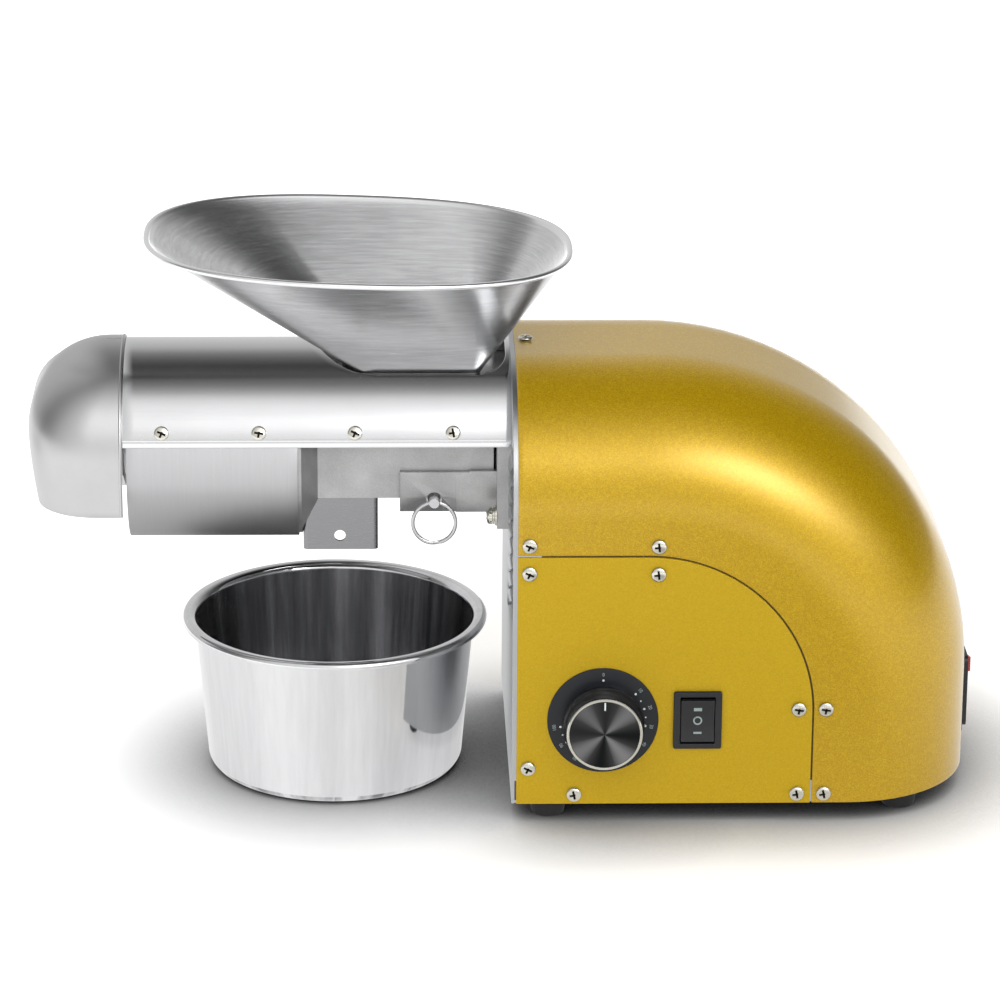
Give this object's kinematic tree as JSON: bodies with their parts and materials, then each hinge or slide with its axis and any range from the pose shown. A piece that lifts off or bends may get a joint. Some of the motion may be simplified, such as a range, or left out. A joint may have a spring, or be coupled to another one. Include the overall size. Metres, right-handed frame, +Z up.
{
  "type": "screw oil press",
  "caption": "Table-top electric screw oil press with rounded sheet housing, covered horizontal barrel, tilted oval hopper, drip chute and loose steel bowl.",
  "frame": {"origin": "middle of the footprint on the table", "axes": "+X along the barrel towards the housing, +Y away from the control side, +Z up"},
  "size_m": [0.4992, 0.2092, 0.2931],
  "materials": {
    "barrel_steel": "machined",
    "black_plastic": "satin",
    "board": "matte",
    "brushed_steel": "brushed",
    "capacitor_shell": "gloss",
    "casting": "bead blasted",
    "contact_metal": "satin",
    "copper": "varnished",
    "dark_steel": "matte",
    "dial_black": "satin",
    "foot_rubber": "matte",
    "gold_paint": "gloss metallic",
    "grey_sheet": "satin",
    "heater_metal": "matte",
    "motor_paint": "matte",
    "polished_steel": "mirror polished",
    "red_plastic": "gloss",
    "satin_gold_paint": "satin metallic",
    "satin_steel": "satin",
    "screw_steel": "bright",
    "spun_black": "spun"
  },
  "bodies": {
    "machine": {"housing_shell": "gold_paint", "front_side_panel": "satin_gold_paint", "rear_side_panel": "satin_gold_paint", "end_plate": "grey_sheet", "base_plate": "grey_sheet", "feet": "foot_rubber", "foot_screws": "screw_steel", "housing_screws": "screw_steel", "panel_screws": "screw_steel", "dial_plate": "dial_black", "control_body": "black_plastic", "switch_body": "black_plastic", "inlet_body": "black_plastic", "inlet_pins": "contact_metal", "mount_bracket": "casting", "bracket_bolts": "screw_steel", "press_chamber": "casting", "press_cage": "barrel_steel", "nozzle_nut": "barrel_steel", "heater_band": "heater_metal", "temperature_probe": "contact_metal", "barrel_end_ring": "dark_steel", "top_cover": "polished_steel", "cover_screws": "screw_steel", "lower_guard": "brushed_steel", "oil_chute": "brushed_steel", "pin_spring": "barrel_steel", "pin_sleeve": "barrel_steel", "gearbox_case": "casting", "gearbox_cover": "casting", "gearbox_screws": "screw_steel", "shaft_bearings": "barrel_steel", "motor_can": "motor_paint", "stator_core": "motor_paint", "motor_windings": "copper", "motor_end_shields": "casting", "fan_cowl": "motor_paint", "motor_cradle": "grey_sheet", "run_capacitor": "capacitor_shell", "control_board": "board"},
    "screw_train": {"press_screw": "polished_steel", "output_shaft": "barrel_steel", "output_gear": "barrel_steel"},
    "idler": {"idler_gear": "barrel_steel"},
    "rotor": {"motor_rotor": "barrel_steel", "cooling_fan": "black_plastic"},
    "knob": {"control_knob": "black_plastic", "knob_face": "spun_black", "control_spindle": "barrel_steel"},
    "front_rocker": {"switch_rocker": "black_plastic"},
    "power_rocker": {"inlet_rocker": "red_plastic"},
    "pin": {"pull_pin": "barrel_steel"},
    "ring": {"pin_ring": "polished_steel"},
    "hopper": {"hopper": "brushed_steel"},
    "cap": {"end_cap": "satin_steel"},
    "bowl": {"oil_bowl": "polished_steel"}
  },
  "joints": [
    {"name": "screw_spin", "type": "hinge", "parent": "machine", "child": "screw_train", "pos_m": [0.00341, 0.0094, 0.1808], "axis": [1, 0, 0], "continuous": true},
    {"name": "idler_spin", "type": "hinge", "parent": "machine", "child": "idler", "pos_m": [0.00341, 0.0094, 0.1268], "axis": [1, 0, 0], "continuous": true},
    {"name": "rotor_spin", "type": "hinge", "parent": "machine", "child": "rotor", "pos_m": [0.00341, 0.0094, 0.0908], "axis": [1, 0, 0], "continuous": true},
    {"name": "knob_turn", "type": "hinge", "parent": "machine", "child": "knob", "pos_m": [0.04791, -0.0836, 0.057], "axis": [0, 1, 0], "range_deg": [0, 285]},
    {"name": "front_rocker_tilt", "type": "hinge", "parent": "machine", "child": "front_rocker", "pos_m": [0.09691, -0.0796, 0.057], "axis": [1, 0, 0], "range_deg": [-10, 10]},
    {"name": "power_rocker_tilt", "type": "hinge", "parent": "machine", "child": "power_rocker", "pos_m": [0.24341, 0.0094, 0.054], "axis": [0, 0, 1], "range_deg": [-16, 0]},
    {"name": "pin_pull", "type": "slide", "parent": "machine", "child": "pin", "axis": [0, -1, 0], "range_m": [0, 0.0045], "stiffness_N_per_m": 800, "springref_m": -0.003, "deforming": ["pin_spring"]},
    {"name": "ring_swing", "type": "hinge", "parent": "pin", "child": "ring", "pos_m": [-0.03859, -0.0275, 0.1566], "axis": [1, 0, 0], "range_deg": [-90, 25]},
    {"name": "hopper_lift", "type": "slide", "parent": "machine", "child": "hopper", "axis": [0, 0, 1], "range_m": [0, 0.08]},
    {"name": "cap_pull", "type": "slide", "parent": "machine", "child": "cap", "axis": [-1, 0, 0], "range_m": [0, 0.06]},
    {"name": "bowl_take", "type": "slide", "parent": "machine", "child": "bowl", "axis": [0, -1, 0], "range_m": [0, 0.2]}
  ],
  "couplings": [
    {"joint": "idler_spin", "follows": "screw_spin", "ratio": -5},
    {"joint": "rotor_spin", "follows": "screw_spin", "ratio": 25}
  ]
}
